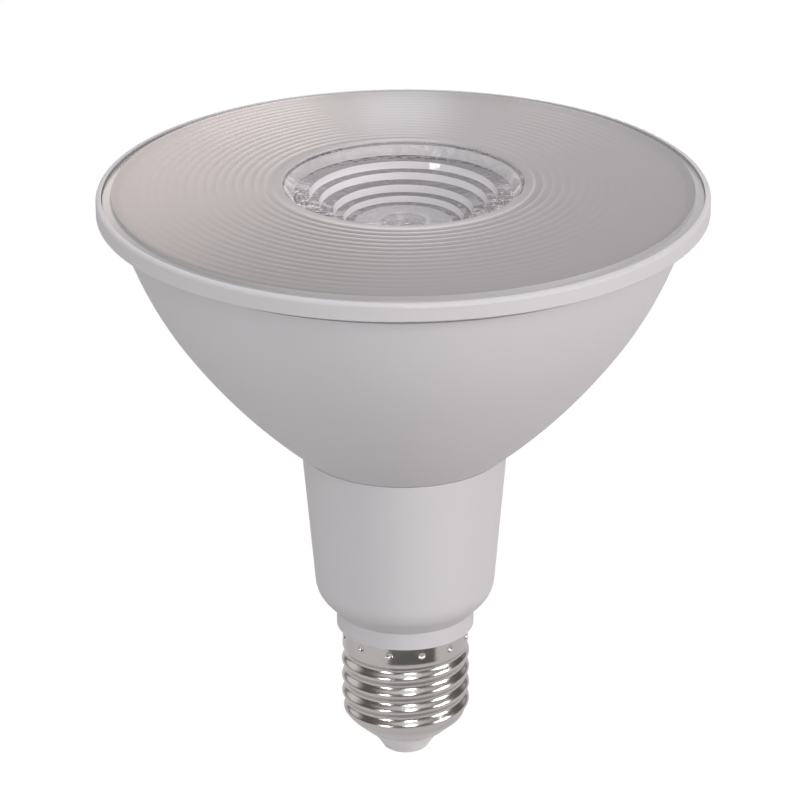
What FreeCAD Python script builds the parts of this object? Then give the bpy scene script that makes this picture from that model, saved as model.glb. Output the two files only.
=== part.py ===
import FreeCAD, Part
import math
import os
from collections import namedtuple
from FreeCAD import Vector

# PAR38 reflector-shaped LED lamp with an E27 screw cap, in millimetres.
# Z is the lamp's axis and zero is the tip of the centre contact; the lens faces up.

# Screw cap
cap_length = 28.4          # contact tip to the collar of the neck
barrel_r = 12.85
cap_sheet = 0.3
thread_pitch = 3.629
thread_rise = 0.25         # crest outside the barrel's radius
thread_sink = 0.75         # root inside it
thread_crest_z = 18.2      # a crest passes here on the +X side
thread_top_drop = 4.1      # under the top of the cap
thread_bottom_z = 8.2
thread_runout = 1.8
curl_r = 4.3               # bend that turns the sheet in below the thread
curl_z = 10.7
curl_lean = math.radians(48)
mouth_inset = 4.5          # lower edge of the sheet inside the barrel's radius
dimple_count = 12
dimple_ball_r = 1.0
dimple_depth = 0.42
dimple_drop = 2.05
dimple_start = math.radians(15)

# Insulator and centre contact
insulator_top_z = 9.6
insulator_hollow = 0.1     # dip of its visible flank, in and up
insulator_taper = 3.7      # foot inside the mouth of the sheet
insulator_foot_z = 0.35
contact_inset = 0.3        # contact inside the insulator's foot
contact_thickness = 0.9
contact_edge = 0.3
contact_stem_r = 1.8
contact_stem_length = 4.0

# Neck, which holds the driver
collar_step = 1.15         # collar outside the barrel's radius
neck_length = 39.1
neck_top_r = 20.75
neck_taper = 0.086         # radius gained per millimetre of height
neck_proud = 0.1           # top of the neck outside the foot of the bowl
neck_wall = 1.8
shoulder_height = 7.9
shoulder_slope = 0.937
shoulder_rounding = 6.4
nose_wall = 1.6
nose_gap = 2.4             # left free over the insulator
nose_rounding = 0.5
rail_width = 1.5
rail_depth = 1.4
rail_drop = 2.5
rail_gap = 1.0             # left free under the bowl's spigot

# Bowl
bowl_length = 51.5
bowl_rim_lean = math.radians(14.7)
bowl_upper_share = 0.499   # part of the length that the upper arc takes
bowl_narrowing_share = 0.331   # part of the narrowing that it takes
bowl_wall = 2.0
bowl_lip_drop = 0.15       # eased lower edge
bowl_lip_width = 0.5
seam_drop = 1.2            # dark seam in the bowl, in the shade of the bezel
seam_height = 0.9
seam_depth = 0.7
bowl_floor = 2.4
spigot_length = 6.0
spigot_wall = 1.6
lug_count = 4
lug_width = 6.0
lug_height = 1.5
lug_reach = 0.6
lug_drop = 3.4
ledge_width = 2.6
boss_r = 3.4
boss_count = 3

# Bezel and front cover
bezel_r = 60.5
bezel_overhang = 3.86      # outside the bowl's rim
bezel_height = 3.5
bezel_lip = 1.1
bezel_rounding = 0.7
bezel_foot_rounding = 0.15
bezel_seat = 1.0
skirt_length = 4.3
skirt_wall = 1.5
border_thickness = 2.0
border_width = 1.8
crown_r = 1110.0
crown_rise = 5.45          # crown of the cover above the bowl's rim
cover_thickness = 2.2
cover_flange = 3.6
ripple_pitch = 1.875
ripple_height = 0.06
ripple_margin = 1.5        # smooth band round the opening, at least
opening_r = 23.95
collar_ring_wall = 1.5

# Centre optic: treads and risers of its stepped dish, from the rim inwards
optic_height = 19.9
optic_flange_r = 25.6
optic_flange_thickness = 1.5
optic_flange_drop = 3.1
rim_slope_width = 2.1
rim_slope_drop = 2.2
tread_radii = (18.6, 16.6, 13.8, 11.85)
tread_drop = 0.2
riser_heights = (1.4, 1.4, 1.45, 1.2)
pip_r = 4.6
pip_height = 0.35
optic_neck_r = 22.9
optic_foot_r = 8.8
optic_bulge = 1.3
well_r = 7.2
well_top_r = 5.8
well_depth = 5.4
well_dome = 1.0

# Heat sink and light source
sink_floor = 2.5
sink_wall = 1.5
sink_rounding = 0.4
sink_skirt = 14.2
pad_side = 20.0
pad_thickness = 0.3
chip_side = 19.0
chip_thickness = 1.0
phosphor_r = 6.2
phosphor_thickness = 0.3
holder_r = 17.5
holder_height = 4.2
holder_seat_r = 10.6
holder_seat_rise = 1.0
holder_rounding = 0.5
holder_eye_r = 7.0
holder_screw_span = 14.0
feed_hole_r = 1.6
feed_span = 22.0

# Screws
screw_r = 1.5
screw_head_r = 2.75
screw_head_height = 1.8
screw_head_rounding = 0.8
screw_point_rounding = 0.4
screw_recess = 0.9
screw_recess_width = 0.7
screw_recess_length = 3.0
holder_screw_length = 5.2
plate_screw_length = 7.5

# Driver board and what stands on it
board_thickness = 1.6
board_y = 2.0
board_lift = 4.7           # over the neck's shoulder
board_edge_gap = 1.7       # left free to the neck's wall at its foot
board_headroom = 9.6       # left free under the heat sink
tongue_edge_gap = 1.55     # left free to the wall of the nose
tongue_lift = 12.0         # over the foot of the nose
can_rounding = 0.6
can_groove_depth = 0.4
can_groove_z = 1.8
can_groove_half = 0.4
can_score_width = 0.4
can_score_depth = 0.2
input_can_r = 5.0
input_can_height = 13.0
output_can_r = 4.0
output_can_height = 11.5
can_spacing = 11.0
can_drop = 7.0
film_width = 10.5
film_height = 9.0
film_depth = 5.0
film_share = 0.16          # heights on the board are parts of its length
film_x = -3.0
core_width = 16.0
core_height = 14.0
core_depth = 5.0
core_limb = 3.6
winding_lift = 2.0
winding_depth = 11.0
winding_clearance = 0.15
winding_rounding = 0.8
core_share = 0.5
choke_r = 4.2
choke_height = 8.0
choke_flange = 1.0
choke_waist = 1.0
choke_share = 0.2
choke_edge_gap = 2.3       # inside the board's long edge
bridge_side = 5.0
bridge_height = 1.6
bridge_share = 0.12
fuse_r = 1.6
fuse_length = 8.0
fuse_lift = 9.0            # over the tongue's foot
chip_body_width = 4.0
chip_body_length = 5.0
chip_body_height = 1.5
driver_chip_share = 0.45
lead_width = 0.45
lead_reach = 1.0
lead_pitch = 1.27
leads_per_side = 4

# Wires
mains_wire_r = 0.7
led_wire_r = 0.6
solder_lap = 3.0
wire_offset = 4.0
wire_gap = 0.4
wire_slack = 2.0
bend_share = 0.45          # part of the shorter run that a bend may take

# Fits
slide_fit = 0.1
press_fit = 0.05
loose_fit = 0.15

# Sizes that follow from those above
thread_crest_r = barrel_r + thread_rise
thread_root_r = barrel_r - thread_sink
thread_top_z = cap_length - thread_top_drop
mouth_r = barrel_r - mouth_inset
insulator_foot_r = mouth_r - insulator_taper
contact_r = insulator_foot_r - contact_inset
collar_r = barrel_r + collar_step
collar_z = cap_length
nose_z = insulator_top_z + nose_gap
bowl_z = collar_z + neck_length
bowl_foot_r = neck_top_r - neck_proud
bowl_rim_r = bezel_r - bezel_overhang
rim_z = bowl_z + bowl_length
bezel_top_z = rim_z + bezel_height
seat_z = rim_z + bezel_seat
crown_z = rim_z + crown_rise
lens_r = bezel_r - bezel_lip - loose_fit

Corner = namedtuple("Corner", "r z rounding via", defaults=(0.0, None))


def section(corners):
    """Closed outline in the XZ plane, with tangent arcs at rounded corners and arcs through via points."""
    place = [Vector(c.r, 0, c.z) for c in corners]
    edges = []
    starts = {}
    ends = {}
    middles = {}
    for i, corner in enumerate(corners):
        starts[i] = ends[i] = place[i]
        if corner.rounding:
            back = (place[i - 1] - place[i]).normalize()
            onward = (place[(i + 1) % len(place)] - place[i]).normalize()
            half = back.getAngle(onward) / 2
            run = corner.rounding / math.tan(half)
            inward = (back + onward).normalize()
            starts[i] = place[i] + back * run
            ends[i] = place[i] + onward * run
            middles[i] = place[i] + inward * (corner.rounding / math.sin(half) - corner.rounding)
    for i, corner in enumerate(corners):
        if corner.via:
            through = Vector(corner.via[0], 0, corner.via[1])
            edges.append(Part.Arc(ends[(i - 1) % len(place)], through, starts[i]).toShape())
        else:
            edges.append(Part.LineSegment(ends[(i - 1) % len(place)], starts[i]).toShape())
        if corner.rounding:
            edges.append(Part.Arc(starts[i], middles[i], ends[i]).toShape())
    return Part.Face(Part.Wire(Part.__sortEdges__(edges)))


def turned(corners):
    """Solid of revolution about the lamp's axis."""
    return section(corners).revolve(Vector(0, 0, 0), Vector(0, 0, 1), 360)


def rod(r, z_from, z_to, x=0.0, y=0.0):
    return Part.makeCylinder(r, z_to - z_from, Vector(x, y, z_from))


def block(width, depth, height, x, y, z):
    """Box with the middle of its lower face at x, y, z."""
    return Part.makeBox(width, depth, height, Vector(x - width / 2, y - depth / 2, z))


def around(count, start=0.0):
    return [start + 2 * math.pi * i / count for i in range(count)]


def polar(r, angle):
    return r * math.cos(angle), r * math.sin(angle)


# Shape of the bowl: two tangent arcs

def leaning_arc(r, z, lean, end_r, end_z):
    """Centre, radius and last lean of the arc that goes down from a point at a lean and ends at another."""
    chord = math.atan2(r - end_r, z - end_z)
    radius = math.hypot(r - end_r, z - end_z) / (2 * math.sin(chord - lean))
    return (r - radius * math.cos(lean), z + radius * math.sin(lean)), radius, 2 * chord - lean


change_z = rim_z - bowl_upper_share * bowl_length
change_r = bowl_rim_r - bowl_narrowing_share * (bowl_rim_r - bowl_foot_r)
upper_centre, upper_arc, change_lean = leaning_arc(bowl_rim_r, rim_z, bowl_rim_lean, change_r, change_z)
lower_centre, lower_arc, foot_lean = leaning_arc(change_r, change_z, change_lean, bowl_foot_r, bowl_z)


def change_height(depth):
    """Height at which the bowl's two arcs meet, at a depth under its outer face."""
    return change_z + depth * math.sin(change_lean)


def bowl_radius(z, depth=0.0):
    """Radius of the bowl at a height, at a depth under its outer face."""
    upper = z > change_height(depth)
    centre = upper_centre if upper else lower_centre
    reach = (upper_arc if upper else lower_arc) - depth
    return centre[0] + math.sqrt(reach ** 2 - (centre[1] - z) ** 2)


def along_bowl(z_from, z_to, depth=0.0):
    """Corners that lead along the bowl's arcs from one height to another, without the first."""
    change = change_height(depth)
    stops = [z_from]
    if min(z_from, z_to) < change < max(z_from, z_to):
        stops.append(change)
    stops.append(z_to)
    corners = []
    for low, high in zip(stops, stops[1:]):
        middle = (low + high) / 2
        corners.append(Corner(bowl_radius(high, depth), high, via=(bowl_radius(middle, depth), middle)))
    return corners


def crown_height(r):
    """Height of the cover's gently domed face."""
    return crown_z - (crown_r - math.sqrt(crown_r ** 2 - r ** 2))


def neck_radius(z):
    """Outer radius of the tapered part of the neck."""
    return neck_top_r - neck_taper * (bowl_z - z)


# Screw cap shell: sheet with the round thread rolled into it

turn_poles = 18
row_step = thread_pitch / 6
turn_gain = 3 / (2 + math.cos(2 * math.pi / turn_poles))
wave_gain = 3 / (2 + math.cos(2 * math.pi * row_step / thread_pitch))


def ramp(share):
    """Smooth step from 0 to 1."""
    share = min(max(share, 0.0), 1.0)
    return share * share * (3 - 2 * share)


def thread_offset(angle, z):
    """How far the rolled sheet stands out from the line of the barrel."""
    middle = (thread_crest_r + thread_root_r) / 2 - barrel_r
    swing = (thread_crest_r - thread_root_r) / 2 * wave_gain
    wave = math.cos(2 * math.pi * (z - thread_crest_z) / thread_pitch - angle)
    fade = ramp((thread_top_z - z) / thread_runout) * ramp((z - thread_bottom_z) / thread_runout)
    return fade * (middle + swing * wave)


def barrel_line(distance):
    """Point and lean on the shell's outer line: down the barrel, round the curl, in to the mouth."""
    straight = cap_length - curl_z
    bend = curl_r * curl_lean
    if distance <= straight:
        return barrel_r, cap_length - distance, 0.0
    lean = min((distance - straight) / curl_r, curl_lean)
    r = barrel_r - curl_r * (1 - math.cos(lean))
    z = curl_z - curl_r * math.sin(lean)
    rest = max(distance - straight - bend, 0.0)
    return r - rest * math.sin(lean), z - rest * math.cos(lean), lean


def sheet_surface(depth):
    """Face of the rolled sheet at a depth under its outside, as one smooth closed surface."""
    curled_r = barrel_r - curl_r * (1 - math.cos(curl_lean))
    length = cap_length - curl_z + curl_r * curl_lean + (curled_r - mouth_r) / math.sin(curl_lean)
    rows = round(length / row_step)
    poles = []
    for angle in around(turn_poles):
        line = []
        for row in range(rows + 1):
            r, z, lean = barrel_line(length * row / rows)
            out = thread_offset(angle, z) - depth
            reach = (r + out * math.cos(lean)) * turn_gain
            x, y = polar(reach, angle)
            line.append(Vector(x, y, z - out * math.sin(lean)))
        poles.append(line)
    surface = Part.BSplineSurface()
    surface.buildFromPolesMultsKnots(
        poles, [1] * (turn_poles + 1), [4] + [1] * (rows - 3) + [4],
        list(range(turn_poles + 1)), list(range(rows - 1)), True, False, 3, 3)
    return surface.toShape()


def end_rings(face):
    """The closed edges at the top and at the bottom of a sheet surface."""
    rings = sorted((e for e in face.Edges if e.isClosed()), key=lambda e: e.BoundBox.ZMax)
    return rings[0], rings[-1]


def make_cap_shell():
    outside = sheet_surface(0.0)
    inside = sheet_surface(cap_sheet)
    rims = [Part.makeRuledSurface(a, b) for a, b in zip(end_rings(outside), end_rings(inside))]
    skin = Part.makeShell([outside, inside] + rims)
    skin.sewShape()
    shell = Part.makeSolid(skin)
    if shell.Volume < 0:
        shell.reverse()
    return add_dimples(shell)


def add_dimples(shell):
    """Punch marks round the barrel that hold the shell to the neck."""
    balls = []
    cups = []
    inside_sheet = rod(barrel_r - cap_sheet / 2, thread_top_z, cap_length)
    for angle in around(dimple_count, dimple_start):
        x, y = polar(barrel_r + dimple_ball_r - dimple_depth, angle)
        centre = Vector(x, y, cap_length - dimple_drop)
        balls.append(Part.makeSphere(dimple_ball_r, centre))
        cups.append(Part.makeSphere(dimple_ball_r + cap_sheet, centre).common(inside_sheet))
    return shell.fuse(cups).cut(balls)


# Insulator and centre contact

def make_insulator():
    wall = cap_sheet + press_fit
    lean_r = math.cos(curl_lean)
    lean_z = math.sin(curl_lean)
    curled_r = barrel_r - curl_r * (1 - math.cos(curl_lean))
    curled_z = curl_z - curl_r * math.sin(curl_lean)
    mouth_z = curled_z - (curled_r - mouth_r) / math.tan(curl_lean)
    edge = (mouth_r - wall * lean_r, mouth_z + wall * lean_z)
    bend = (curled_r - wall * lean_r, curled_z + wall * lean_z)
    flank = ((edge[0] + insulator_foot_r) / 2 - insulator_hollow,
             (edge[1] + insulator_foot_z) / 2 + insulator_hollow)
    bore = contact_stem_r + slide_fit
    seat_r = contact_r + press_fit
    return turned([
        Corner(bore, contact_thickness),
        Corner(seat_r, contact_thickness),
        Corner(seat_r, insulator_foot_z),
        Corner(insulator_foot_r, insulator_foot_z),
        Corner(edge[0], edge[1], via=flank),
        Corner(bend[0], bend[1]),
        Corner(bend[0], insulator_top_z),
        Corner(bore, insulator_top_z)])


def make_contact():
    stem_top = contact_thickness + contact_stem_length
    return turned([
        Corner(0, 0),
        Corner(contact_r, 0, rounding=contact_edge),
        Corner(contact_r, contact_thickness),
        Corner(contact_stem_r, contact_thickness),
        Corner(contact_stem_r, stem_top, rounding=contact_edge),
        Corner(0, stem_top)])


# Neck

shoulder_z = collar_z + shoulder_height
shoulder_r = neck_radius(shoulder_z)
cone_z = shoulder_z - (shoulder_r - collar_r) / shoulder_slope
nose_r = barrel_r - cap_sheet - loose_fit
nose_groove_r = barrel_r - cap_sheet - dimple_depth - loose_fit
nose_thread_r = thread_root_r - cap_sheet - loose_fit
nose_bore_r = nose_thread_r - nose_wall
groove_half = dimple_ball_r + cap_sheet
groove_z = cap_length - dimple_drop
board_front_y = board_y - board_thickness / 2
board_back_y = board_y + board_thickness / 2
board_base_z = shoulder_z + board_lift
board_width = 2 * (neck_radius(board_base_z) - neck_wall - board_edge_gap)
spigot_bottom_z = bowl_z - spigot_length
spigot_r = neck_radius(spigot_bottom_z) - neck_wall - slide_fit
lug_z = bowl_z - lug_drop - lug_height


def neck_outline(grow):
    """Corners up the neck's outer face, moved in by a wall."""
    slope_in = grow * (math.sqrt(1 + shoulder_slope ** 2) - 1) / shoulder_slope
    return [Corner(shoulder_r - grow, shoulder_z + slope_in, rounding=shoulder_rounding - grow),
            Corner(neck_radius(bowl_z) - grow, bowl_z)]


def make_driver_housing():
    hollow_cone_z = cone_z + neck_wall * math.sqrt(1 + shoulder_slope ** 2) / shoulder_slope
    hollow_cone_z -= (collar_r - nose_bore_r) / shoulder_slope
    outer = neck_outline(0.0)
    inner = list(reversed(neck_outline(neck_wall)))
    housing = turned([
        Corner(nose_bore_r, nose_z),
        Corner(nose_thread_r, nose_z, rounding=nose_rounding),
        Corner(nose_thread_r, thread_top_z),
        Corner(nose_groove_r, thread_top_z),
        Corner(nose_groove_r, groove_z + groove_half),
        Corner(nose_r, groove_z + groove_half),
        Corner(nose_r, collar_z),
        Corner(collar_r, collar_z),
        Corner(collar_r, cone_z)] + outer + inner + [
        Corner(nose_bore_r, hollow_cone_z)])
    reach = neck_wall / 2
    core = turned([
        Corner(0, collar_z),
        Corner(collar_r - reach, collar_z),
        Corner(collar_r - reach, cone_z + reach)] + neck_outline(reach) + [
        Corner(0, bowl_z)])
    housing = housing.fuse([rail.common(core) for rail in board_rails()])
    return housing.cut(board_slots() + lugs(slide_fit)).removeSplitter()


def board_rails():
    """Guide rails inside the neck for both edges of the driver board."""
    depth = board_thickness + 2 * rail_width
    inner_x = board_width / 2 - rail_depth
    outer_x = neck_radius(bowl_z)
    foot_z = board_base_z - rail_drop
    length = spigot_bottom_z - rail_gap - foot_z
    return [block(outer_x - inner_x, depth, length, side * (outer_x + inner_x) / 2, board_y, foot_z)
            for side in (-1, 1)]


def board_slots():
    width = board_width + 2 * slide_fit
    depth = board_thickness + 2 * slide_fit
    return [block(width, depth, board_length, 0, board_y, board_base_z)]


def lugs(clearance):
    """Snap lugs on the bowl's spigot, or with a clearance the pockets for them."""
    reach = spigot_r + lug_reach + clearance
    ring = rod(reach, lug_z - clearance, lug_z + lug_height + clearance)
    ring = ring.cut(rod(spigot_r - spigot_wall / 2, lug_z - 1, lug_z + lug_height + 1))
    width = lug_width + 2 * clearance
    found = []
    for angle in around(lug_count, math.pi / lug_count):
        corner = Vector(0, -width / 2, lug_z - lug_height / 2)
        gate = Part.makeBox(2 * reach, width, 2 * lug_height, corner)
        gate.rotate(Vector(0, 0, 0), Vector(0, 0, 1), math.degrees(angle))
        found.append(ring.common(gate))
    return found


# Heights of the light source, worked out downwards from the optic

rim_drop = crown_height(opening_r)
optic_foot_z = rim_drop - optic_height
sink_top_z = optic_foot_z - holder_height
sink_z = sink_top_z - sink_floor
optic_flange_z = rim_drop - optic_flange_drop
boss_span = bowl_radius(sink_z, bowl_wall) - boss_r
boss_angles = around(boss_count, math.pi / 2)
holder_top_z = sink_top_z + holder_height - holder_seat_rise
board_top_z = sink_z - board_headroom
board_length = board_top_z - board_base_z
tongue_foot_z = nose_z + tongue_lift


# Bowl

def make_bowl():
    inner_foot_z = bowl_z + bowl_floor
    ledge_foot_z = sink_z - ledge_width
    seam_top_z = rim_z - seam_drop
    seam_foot_z = seam_top_z - seam_height
    spigot_bore = spigot_r - spigot_wall
    bowl = turned([
        Corner(spigot_bore, spigot_bottom_z),
        Corner(spigot_r, spigot_bottom_z),
        Corner(spigot_r, bowl_z),
        Corner(bowl_foot_r - bowl_lip_width, bowl_z),
        Corner(bowl_radius(bowl_z + bowl_lip_drop), bowl_z + bowl_lip_drop)]
        + along_bowl(bowl_z + bowl_lip_drop, seam_foot_z)
        + [Corner(bowl_radius(seam_foot_z, seam_depth), seam_foot_z),
           Corner(bowl_radius(seam_top_z, seam_depth), seam_top_z),
           Corner(bowl_radius(seam_top_z), seam_top_z)]
        + along_bowl(seam_top_z, rim_z)
        + [Corner(bowl_radius(rim_z, bowl_wall), rim_z)]
        + along_bowl(rim_z, sink_z, bowl_wall)
        + [Corner(bowl_radius(sink_z, bowl_wall) - ledge_width, sink_z),
           Corner(bowl_radius(ledge_foot_z, bowl_wall), ledge_foot_z)]
        + along_bowl(ledge_foot_z, inner_foot_z, bowl_wall)
        + [Corner(spigot_bore, inner_foot_z)])
    core = turned([Corner(0, bowl_z), Corner(bowl_radius(bowl_z, bowl_wall / 2), bowl_z)]
                  + along_bowl(bowl_z, sink_z, bowl_wall / 2)
                  + [Corner(0, sink_z)])
    bosses = []
    pilots = []
    for angle in boss_angles:
        x, y = polar(boss_span, angle)
        bosses.append(rod(boss_r, bowl_z, sink_z, x, y).common(core).cut(
            rod(boss_r * 2, bowl_z, sink_z - 2 * plate_screw_length, x, y)))
        pilots.append(rod(screw_r + press_fit, sink_top_z - plate_screw_length - 1, sink_z, x, y))
    return bowl.fuse(bosses + lugs(0.0)).cut(pilots).removeSplitter()


# Bezel and front cover

skirt_foot_z = rim_z - skirt_length


def make_bezel():
    top_r = bowl_radius(rim_z, bowl_wall) - loose_fit
    foot_r = bowl_radius(skirt_foot_z, bowl_wall) - loose_fit
    return turned([
        Corner(bezel_r, rim_z, rounding=bezel_foot_rounding),
        Corner(bezel_r, bezel_top_z, rounding=bezel_rounding),
        Corner(bezel_r - bezel_lip, bezel_top_z),
        Corner(bezel_r - bezel_lip, seat_z),
        Corner(top_r - skirt_wall, seat_z),
        Corner(foot_r - skirt_wall, skirt_foot_z),
        Corner(foot_r, skirt_foot_z),
        Corner(top_r, rim_z)])


def make_front_lens():
    """Cover with ring-shaped ripples, an opening for the optic and a stepped border."""
    corners = [Corner(opening_r, optic_flange_z + slide_fit),
               Corner(opening_r, rim_drop)]
    ripple_count = int((lens_r - border_width - opening_r - ripple_margin) / ripple_pitch)
    ripple_start = lens_r - border_width - ripple_count * ripple_pitch
    corners.append(Corner(ripple_start, crown_height(ripple_start)))
    for ring in range(ripple_count):
        middle = ripple_start + (ring + 0.5) * ripple_pitch
        r = ripple_start + (ring + 1) * ripple_pitch
        corners.append(Corner(r, crown_height(r), via=(middle, crown_height(middle) + ripple_height)))
    border_z = seat_z + border_thickness
    corners += [Corner(lens_r - border_width, border_z),
                Corner(lens_r, border_z),
                Corner(lens_r, seat_z),
                Corner(lens_r - cover_flange, seat_z)]
    under = cover_thickness
    ring_r = optic_flange_r + slide_fit
    shell_from = lens_r - cover_flange
    shell_to = ring_r + collar_ring_wall
    middle = (shell_from + shell_to) / 2
    corners += [Corner(shell_from, crown_height(shell_from) - under),
                Corner(shell_to, crown_height(shell_to) - under, via=(middle, crown_height(middle) - under)),
                Corner(shell_to, optic_flange_z - optic_flange_thickness),
                Corner(ring_r, optic_flange_z - optic_flange_thickness),
                Corner(ring_r, optic_flange_z + slide_fit)]
    return turned(corners)


def make_centre_optic():
    """Clear collimator: stepped dish on top, curved flank, and a well over the light source."""
    top_r = opening_r - slide_fit
    flange_foot_z = optic_flange_z - optic_flange_thickness
    r = top_r - rim_slope_width
    z = rim_drop - rim_slope_drop
    corners = [Corner(top_r, optic_flange_z),
               Corner(top_r, rim_drop, rounding=slide_fit),
               Corner(r, z)]
    for tread_r, riser in zip(tread_radii, riser_heights):
        z -= tread_drop
        corners.append(Corner(tread_r, z))
        z -= riser
        corners.append(Corner(tread_r - tread_drop, z))
    well_z = optic_foot_z + well_depth
    chord_r = (optic_neck_r + optic_foot_r) / 2
    chord_z = (flange_foot_z + optic_foot_z) / 2
    tilt = math.atan2(optic_neck_r - optic_foot_r, flange_foot_z - optic_foot_z)
    flank = (chord_r + optic_bulge * math.cos(tilt), chord_z - optic_bulge * math.sin(tilt))
    dome_r = well_top_r * math.sqrt(0.5)
    corners += [Corner(pip_r, z),
                Corner(pip_r, z + pip_height),
                Corner(0, z + pip_height),
                Corner(0, well_z + well_dome),
                Corner(well_top_r, well_z, via=(dome_r, well_z + well_dome / 2)),
                Corner(well_r, optic_foot_z),
                Corner(optic_foot_r, optic_foot_z),
                Corner(optic_neck_r, flange_foot_z, via=flank),
                Corner(optic_flange_r, flange_foot_z),
                Corner(optic_flange_r, optic_flange_z)]
    return turned(corners)


# Heat sink and light source

def feed_places():
    return [(side * wire_offset, math.sqrt(feed_span ** 2 - wire_offset ** 2)) for side in (-1, 1)]


def make_heat_sink():
    depth = bowl_wall + slide_fit
    top_z = sink_z + sink_skirt + sink_floor
    sink = turned([Corner(0, sink_z), Corner(bowl_radius(sink_z, depth), sink_z)]
                  + along_bowl(sink_z, top_z, depth)
                  + [Corner(bowl_radius(top_z, depth + sink_wall), top_z)]
                  + along_bowl(top_z, sink_top_z + 2 * sink_rounding, depth + sink_wall)
                  + [Corner(bowl_radius(sink_top_z, depth + sink_wall), sink_top_z, rounding=sink_rounding),
                     Corner(0, sink_top_z)])
    holes = []
    for angle in boss_angles:
        x, y = polar(boss_span, angle)
        holes.append(rod(screw_r + loose_fit, sink_z, sink_top_z, x, y))
    for side in (-1, 1):
        holes.append(rod(screw_r + press_fit, sink_z, sink_top_z, side * holder_screw_span))
    for x, y in feed_places():
        holes.append(rod(feed_hole_r, sink_z, sink_top_z, x, y))
    return sink.cut(holes)


def make_thermal_pad():
    return block(pad_side, pad_side, pad_thickness, 0, 0, sink_top_z)


chip_z = sink_top_z + pad_thickness
phosphor_z = chip_z + chip_thickness


def make_led_holder():
    """Moulded ring that clamps the light source and carries the optic's foot."""
    pocket = pad_side + 2 * loose_fit
    seat_z_top = sink_top_z + holder_height
    ring = turned([
        Corner(holder_eye_r, sink_top_z),
        Corner(holder_r, sink_top_z),
        Corner(holder_r, holder_top_z, rounding=holder_rounding),
        Corner(holder_seat_r, holder_top_z),
        Corner(holder_seat_r, seat_z_top, rounding=holder_rounding),
        Corner(holder_eye_r, seat_z_top)])
    cuts = [block(pocket, pocket, pad_thickness + chip_thickness + press_fit, 0, 0, sink_top_z)]
    for side in (-1, 1):
        cuts.append(rod(screw_r + loose_fit, sink_top_z, holder_top_z, side * holder_screw_span))
    return ring.cut(cuts)


def make_screw(x, y, seat, length):
    """Pan-head screw with a cross recess, its head on the seat."""
    top = seat + screw_head_height
    screw = turned([
        Corner(0, seat - length),
        Corner(screw_r, seat - length, rounding=screw_point_rounding),
        Corner(screw_r, seat),
        Corner(screw_head_r, seat),
        Corner(screw_head_r, top, rounding=screw_head_rounding),
        Corner(0, top)])
    slot = (screw_recess_width, screw_recess_length)
    for width, depth in (slot, slot[::-1]):
        screw = screw.cut(block(width, depth, screw_recess, 0, 0, top - screw_recess))
    screw.translate(Vector(x, y, 0))
    return screw


# Driver board and its components, standing on the board's -Y face

def make_driver_board():
    board = block(board_width, board_thickness, board_length, 0, board_y, board_base_z)
    tongue_width = 2 * (nose_bore_r - tongue_edge_gap)
    tongue_length = board_base_z - tongue_foot_z
    tongue = block(tongue_width, board_thickness, tongue_length, 0, board_y, tongue_foot_z)
    return board.fuse(tongue).removeSplitter()


def standing(shape, x, z):
    """Turns a piece modelled upright on Z so that it stands on the board's front face."""
    shape.rotate(Vector(0, 0, 0), Vector(1, 0, 0), 90)
    shape.translate(Vector(x, board_front_y, z))
    return shape


def make_can(r, height, x, z):
    """Electrolytic capacitor with the rolled groove near its foot and the scored top."""
    can = turned([
        Corner(0, 0),
        Corner(r, 0, rounding=can_rounding),
        Corner(r, can_groove_z - can_groove_half),
        Corner(r, can_groove_z + can_groove_half, via=(r - can_groove_depth, can_groove_z)),
        Corner(r, height, rounding=can_rounding),
        Corner(0, height)])
    score = block(r, can_score_width, can_score_depth, 0, 0, height - can_score_depth)
    cross = block(can_score_width, r, can_score_depth, 0, 0, height - can_score_depth)
    return standing(can.cut([score, cross]), x, z)


def on_board(share):
    """Height on the driver board, as a part of its length."""
    return board_base_z + share * board_length


def make_film_capacitor():
    body = block(film_width, film_height, film_depth, 0, 0, 0)
    return standing(body.makeFillet(can_rounding, body.Edges), film_x, on_board(film_share))


def make_transformer_core():
    """Two E halves as one ferrite frame round the middle limb."""
    core = block(core_width, core_height, core_depth, 0, 0, winding_lift + (winding_depth - core_depth) / 2)
    window_width = (core_width - 3 * core_limb) / 2
    windows = []
    for side in (-1, 1):
        x = side * (core_limb + window_width) / 2
        windows.append(block(window_width, core_height - core_limb, core_depth * 2, x, 0,
                             winding_lift + (winding_depth - core_depth) / 2 - core_depth / 2))
    return standing(core.cut(windows), 0, on_board(core_share))


def make_transformer_winding():
    """Bobbin with its winding and pin blocks, round the middle limb."""
    window_width = (core_width - 3 * core_limb) / 2
    length = core_height - core_limb - 2 * winding_clearance
    width = core_limb + 2 * window_width - 2 * winding_clearance
    bobbin = block(width, length, winding_depth, 0, 0, winding_lift)
    bobbin = bobbin.makeFillet(winding_rounding, [e for e in bobbin.Edges if abs(e.tangentAt(0).y) > 0.9])
    base = block(width, length, winding_lift, 0, 0, 0)
    tunnel = block(core_limb + 2 * winding_clearance, core_height, core_depth + 2 * winding_clearance, 0, 0,
                   winding_lift + (winding_depth - core_depth) / 2 - winding_clearance)
    return standing(bobbin.fuse(base).cut(tunnel).removeSplitter(), 0, on_board(core_share))


def make_filter_choke():
    waist_r = choke_r - choke_waist
    drum = turned([
        Corner(0, 0),
        Corner(choke_r, 0),
        Corner(choke_r, choke_flange),
        Corner(waist_r, choke_flange),
        Corner(waist_r, choke_height - choke_flange),
        Corner(choke_r, choke_height - choke_flange),
        Corner(choke_r, choke_height),
        Corner(0, choke_height)])
    return standing(drum, board_width / 2 - choke_edge_gap - choke_r, on_board(choke_share))


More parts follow.
